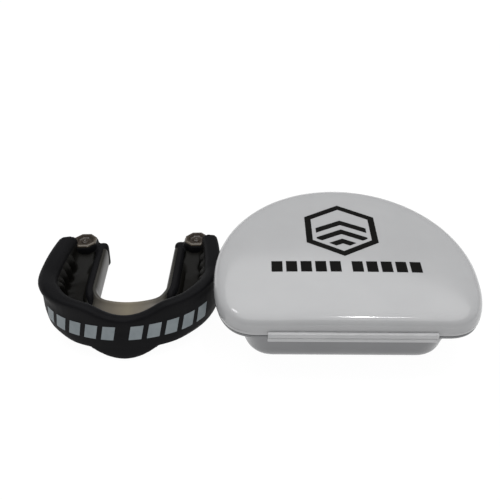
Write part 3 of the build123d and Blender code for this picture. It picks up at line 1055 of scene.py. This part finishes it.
def bar_point(side, middle, across, up):
    """A point of a bar: across and up run from -1 to 1 over it."""
    turn = outer_angle(middle + across * PRINT_WIDTH / 2 + side * up * PRINT_SLANT / 2)
    place = outer_point(turn) + Vector((sin(radians(turn)), -cos(radians(turn)))) * BAR_LIFT
    h = (PRINT_LOW + PRINT_HIGH) / 2 + up * (PRINT_HIGH - PRINT_LOW) / 2
    return Vector((side * place.x, place.y, h)) * MM


def make_bar(side, number):
    bpy.ops.object.select_all(action="DESELECT")
    bpy.ops.mesh.primitive_grid_add(x_subdivisions=BAR_CELLS, y_subdivisions=BAR_CELLS, size=2)
    bar = bpy.context.object
    for vertex in bar.data.vertices:
        vertex.co = bar_point(side, PRINT_START + PRINT_PITCH * number, vertex.co.x, vertex.co.y)
    return bar


def make_print():
    bars = join([make_bar(side, i) for side in (-1, 1) for i in range(BAR_COUNT)], "band_print")
    lay_on_table(bars)
    wrap = bars.modifiers.new("wrap", "SHRINKWRAP")
    wrap.target = shell
    wrap.offset = INK * MM
    skin = bars.modifiers.new("ink", "SOLIDIFY")
    skin.thickness = 0.5 * INK * MM
    skin.offset = -1
    apply_modifiers(bars)
    close_mesh(bars)
    smooth(bars, INK_ANGLE)
    return bars


band_print = make_print()
report(band_print)

# %% [markdown]
# ## Materials
# Every finish here is a moulded or printed surface, so each could be one flat colour. Real
# plastic drifts a little in colour and gloss, so a noise breaks both up, and a finer one gives
# the surface its grain. All noise sticks to the piece, so it moves with it.


# %% Material helpers
def new_material(name):
    material = bpy.data.materials.new(name)
    material.use_nodes = True
    nodes = material.node_tree.nodes
    return material, nodes, material.node_tree.links, nodes["Principled BSDF"]


def noise(nodes, links, scale, detail=4.0):
    """Cloudy noise that sticks to the object; scale is in features per metre."""
    place = nodes.new("ShaderNodeTexCoord")
    texture = nodes.new("ShaderNodeTexNoise")
    set_input(texture, "Scale", scale)
    set_input(texture, "Detail", detail)
    links.new(place.outputs["Object"], texture.inputs["Vector"])
    return texture.outputs["Fac"]


def ramp(nodes, links, value, stops):
    """A colour ramp over value, with stops of (position, colour)."""
    node = nodes.new("ShaderNodeValToRGB")
    elements = node.color_ramp.elements
    while len(elements) < len(stops):
        elements.new(0.5)
    for element, (position, colour) in zip(elements, stops):
        element.position = position
        element.color = (*colour, 1)
    links.new(value, node.inputs["Fac"])
    return node.outputs["Color"]


def set_value(node, number, value):
    node.inputs[number].default_value = value


def spread_value(nodes, links, value, low, high):
    """Stretch a noise value from 0..1 to low..high."""
    node = nodes.new("ShaderNodeMapRange")
    set_input(node, "To Min", low)
    set_input(node, "To Max", high)
    links.new(value, node.inputs["Value"])
    return node.outputs["Result"]


def bump(nodes, links, surface, value, strength, distance):
    node = nodes.new("ShaderNodeBump")
    set_input(node, "Strength", strength)
    set_input(node, "Distance", distance * MM)
    links.new(value, node.inputs["Height"])
    links.new(node.outputs["Normal"], surface.inputs["Normal"])


PLAIN_SPECULAR = 0.5
GRAIN_DETAIL = 6.0
GRAIN_STRENGTH = 0.25


def mottled(name, dark, light, scale, rough, grain_scale, grain, specular=PLAIN_SPECULAR):
    """Colour and roughness drift on a broad noise; a fine one gives the surface its grain."""
    material, nodes, links, surface = new_material(name)
    broad = noise(nodes, links, scale)
    links.new(ramp(nodes, links, broad, [(0.3, dark), (0.7, light)]), surface.inputs["Base Color"])
    links.new(spread_value(nodes, links, broad, *rough), surface.inputs["Roughness"])
    bump(nodes, links, surface, noise(nodes, links, grain_scale, GRAIN_DETAIL), GRAIN_STRENGTH, grain)
    set_input(surface, "Specular IOR Level", specular)
    return material


# %% [markdown]
# ## Plastic, rubber and ink
# The lid is polished polypropylene, so its roughness is low. The base is the same plastic from a
# duller mould, painted darker as painted shade for its front under the lid's overhang. The hinge
# strip is matt and painted paler, as painted light coming through its thin plastic. Rubber is
# nearly black with a broad dull sheen, so its specular level is far down, and ink is flat.

# %% Plastic, rubber and ink
white_plastic = mottled("white_plastic", dark=(0.39, 0.392, 0.398), light=(0.41, 0.412, 0.418),
                        scale=60, rough=(0.08, 0.13), grain_scale=900, grain=0.002)
# painted shade: the base is the lid's plastic painted darker, for its front in shade under the lid's
# overhang
base_plastic_painted_shade = mottled("base_plastic_painted_shade", dark=(0.18, 0.182, 0.188), light=(0.2, 0.202, 0.208),
                       scale=60, rough=(0.2, 0.3), grain_scale=900, grain=0.008)
# painted light: the hinge strip is the lid's plastic painted paler, for light coming through its thin bands
hinge_plastic = mottled("hinge_plastic", dark=(0.45, 0.452, 0.458), light=(0.49, 0.492, 0.498),
                        scale=120, rough=(0.34, 0.46), grain_scale=1500, grain=0.003)
black_rubber = mottled("black_rubber", dark=(0.0045, 0.0045, 0.0052), light=(0.0065, 0.0065, 0.0074),
                       scale=90, rough=(0.48, 0.62), grain_scale=2500, grain=0.02, specular=0.06)
black_ink = mottled("black_ink", dark=(0.004, 0.0038, 0.0035), light=(0.006, 0.0058, 0.0053),
                    scale=150, rough=(0.35, 0.5), grain_scale=3000, grain=0.005, specular=0.04)
grey_ink = mottled("grey_ink", dark=(0.20, 0.23, 0.245), light=(0.25, 0.28, 0.295),
                   scale=260, rough=(0.5, 0.68), grain_scale=2600, grain=0.01, specular=0.2)
print("plain finishes:", [m.name for m in bpy.data.materials])

# %% [markdown]
# ## Gel
# Real gel is clear, and glass with an absorbing volume would show that, but slowly and full
# of grain. Where it stands alone, light comes through it and it looks beige; over rubber it is
# dark. So a ramp over the length round the arch paints that in: painted light coming through the
# gel at the front, darkening to its smoky tint over rubber, with a soft gloss over it.

# %% Gel
CLOUD_SHARE = 0.06           # how far the noise shifts the ramp
GEL_SPECULAR = 0.25
KEY_CLOUD_SHARE = 0.25


def gel_material():
    """Painted light coming through the gel: beige and clear at the front lip, olive along the arms, nearly
    black over rubber.
    """
    material, nodes, links, surface = new_material("smoky_gel")
    along = nodes.new("ShaderNodeAttribute")
    along.attribute_name = "along"
    mixed = nodes.new("ShaderNodeMath")
    mixed.operation = "MULTIPLY_ADD"
    links.new(noise(nodes, links, 300), mixed.inputs[0])
    set_value(mixed, 1, CLOUD_SHARE)
    links.new(along.outputs["Fac"], mixed.inputs[2])
    # painted light: beige where light comes through the gel at the front, dark over rubber along the arms
    colour = ramp(nodes, links, mixed.outputs["Value"], [
        (0.0, (0.195, 0.168, 0.115)), (0.13, (0.132, 0.114, 0.083)), (0.27, (0.06, 0.053, 0.042)),
        (0.38, (0.035, 0.034, 0.03)), (0.75, (0.028, 0.026, 0.022)), (1.0, (0.016, 0.015, 0.012))])
    links.new(colour, surface.inputs["Base Color"])
    gloss = spread_value(nodes, links, noise(nodes, links, 500), 0.3, 0.42)
    links.new(gloss, surface.inputs["Roughness"])
    set_input(surface, "Specular IOR Level", GEL_SPECULAR)
    bump(nodes, links, surface, noise(nodes, links, 900, 3.0), 0.2, 0.03)
    return material


smoky_gel = gel_material()
smoky_lining = mottled("smoky_lining", dark=(0.0035, 0.0033, 0.0028), light=(0.006, 0.0057, 0.0048),
                       scale=200, rough=(0.38, 0.52), grain_scale=1800, grain=0.02, specular=0.1)


def key_material():
    """Dark brown, with a painted glint: pale edge rings where light leaves the gel."""
    material, nodes, links, surface = new_material("key_gel")
    edge = nodes.new("ShaderNodeAttribute")
    edge.attribute_name = "edge"
    cloudy = nodes.new("ShaderNodeMath")
    cloudy.operation = "MULTIPLY_ADD"
    set_value(cloudy, 1, KEY_CLOUD_SHARE)
    links.new(noise(nodes, links, 900), cloudy.inputs[0])
    links.new(edge.outputs["Fac"], cloudy.inputs[2])
    # painted glint: the marked edge rings are painted pale, a painted highlight
    colour = ramp(nodes, links, cloudy.outputs["Value"], [
        (0.0, (0.012, 0.008, 0.005)), (0.2, (0.03, 0.02, 0.012)), (1.0, (0.10, 0.085, 0.066))])
    links.new(colour, surface.inputs["Base Color"])
    gloss = spread_value(nodes, links, noise(nodes, links, 2000), 0.18, 0.3)
    links.new(gloss, surface.inputs["Roughness"])
    return material


key_gel = key_material()
print("materials:", [m.name for m in bpy.data.materials])

# %% [markdown]
# ## Places in the model
# Each finished piece takes the place of its CAD node and rides on the body that moves it: the
# base, the lid or the mouthguard. The fold belongs to both halves of the case, so it rides on
# neither and stays where it lies. The two prints on the lid are true in CAD and only get their ink.


# %% Places in the model
def dress(piece, materials, body, slot, *nodes):
    while len(piece.data.materials) < len(materials):
        piece.data.materials.append(None)
    for number, material in enumerate(materials):
        piece.data.materials[number] = material
    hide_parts(*nodes)
    if body:
        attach(piece, body)


def repaint(node, material):
    """Give a CAD node that stays in view its finish."""
    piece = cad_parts[node]
    for slot in piece.material_slots:
        slot.material = material
    if not piece.material_slots:
        piece.data.materials.append(material)


dress(lid, [white_plastic], "case_top", "white_plastic", "case_lid")
dress(base, [base_plastic_painted_shade], "case_bottom", "white_plastic", "case_base")
dress(lower_leaf, [hinge_plastic], "case_bottom", "hinge_plastic", "hinge_base_leaf")
dress(upper_leaf, [hinge_plastic], "case_top", "hinge_plastic", "hinge_lid_leaf")
dress(web, [hinge_plastic], None, "hinge_plastic", "hinge_web")
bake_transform(web)
dress(shell, [black_rubber], "mouthguard", "black_rubber", "guard_shell")
dress(liner, [smoky_lining, smoky_gel], "mouthguard", "smoky_gel", "gel_liner")
dress(left_key, [key_gel], "mouthguard", "key_gel", "left_gel_key")
dress(right_key, [key_gel], "mouthguard", "key_gel", "right_gel_key")
dress(band_print, [grey_ink], "mouthguard", "grey_ink", "guard_bar_print")
repaint("lid_bar_print", black_ink)
repaint("lid_emblem_print", black_ink)
